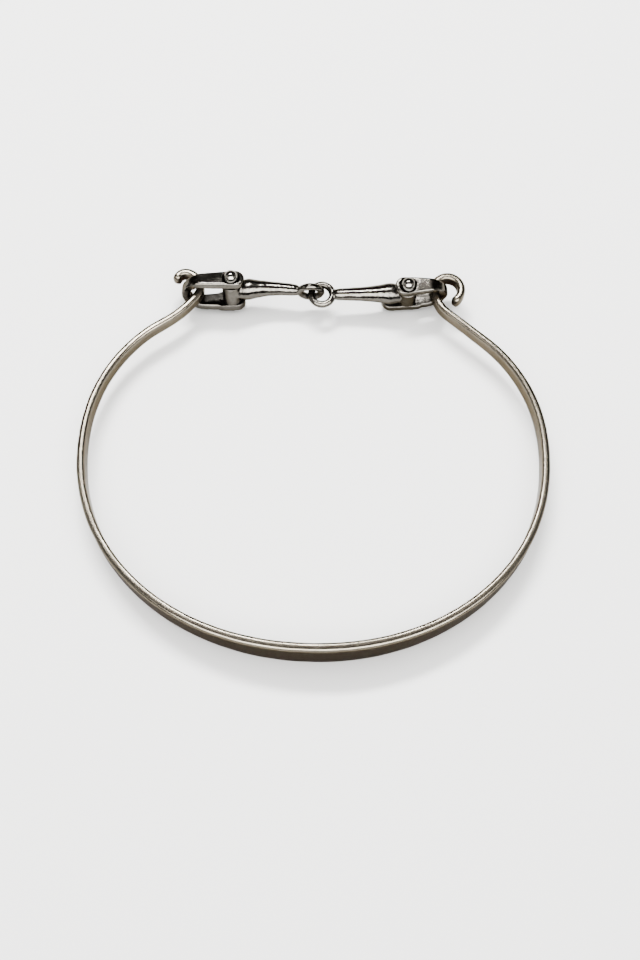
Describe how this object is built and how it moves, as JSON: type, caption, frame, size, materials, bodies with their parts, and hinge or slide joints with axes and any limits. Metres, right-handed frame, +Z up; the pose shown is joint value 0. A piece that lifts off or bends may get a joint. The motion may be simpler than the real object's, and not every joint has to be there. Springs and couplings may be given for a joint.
{
  "type": "jointed bit bangle",
  "caption": "Silver bangle whose opening is closed by a small jointed horse bit, hinged in a loop at one side and caught in an open hook at the other.",
  "frame": {"origin": "centre of the band's oval, on the surface the bangle lies on", "axes": "+Z up along the wrist's axis, +Y from the back of the band to the bit, +X to the side whose shackle is held in the closed loop"},
  "size_m": [0.0674, 0.059, 0.0085],
  "materials": {
    "band_silver": "worn and lightly tarnished polished silver",
    "bit_silver": "worn polished silver, tarnished in the recesses",
    "rivet_silver": "polished silver"
  },
  "bodies": {
    "band": {"bangle_band": "band_silver"},
    "right_link": {"right_shackle": "bit_silver", "right_pin": "rivet_silver", "right_pin_cap": "rivet_silver"},
    "right_bar": {"right_canon": "bit_silver"},
    "left_bar": {"left_canon": "bit_silver"},
    "left_link": {"left_shackle": "bit_silver", "left_pin": "rivet_silver", "left_pin_cap": "rivet_silver"}
  },
  "joints": [
    {"name": "opening", "type": "hinge", "parent": "band", "child": "right_link", "pos_m": [0.01948, 0.0262, 0.00428], "axis": [0, 0, -1], "range_deg": [0, 100]},
    {"name": "right_rivet", "type": "hinge", "parent": "right_link", "child": "right_bar", "pos_m": [0.01405, 0.02595, 0.00428], "axis": [-0.0012, 0.0697, -0.9976], "range_deg": [-45, 45]},
    {"name": "middle_link", "type": "hinge", "parent": "right_bar", "child": "left_bar", "pos_m": [0.00118, 0.02623, 0.00428], "axis": [0, 0, -1], "range_deg": [-45, 45]},
    {"name": "left_rivet", "type": "hinge", "parent": "left_bar", "child": "left_link", "pos_m": [-0.0122, 0.0264, 0.00428], "axis": [-0.0022, -0.1736, -0.9848], "range_deg": [-60, 60]}
  ],
  "couplings": [
    {"joint": "left_rivet", "follows": "opening", "ratio": -0.5}
  ]
}
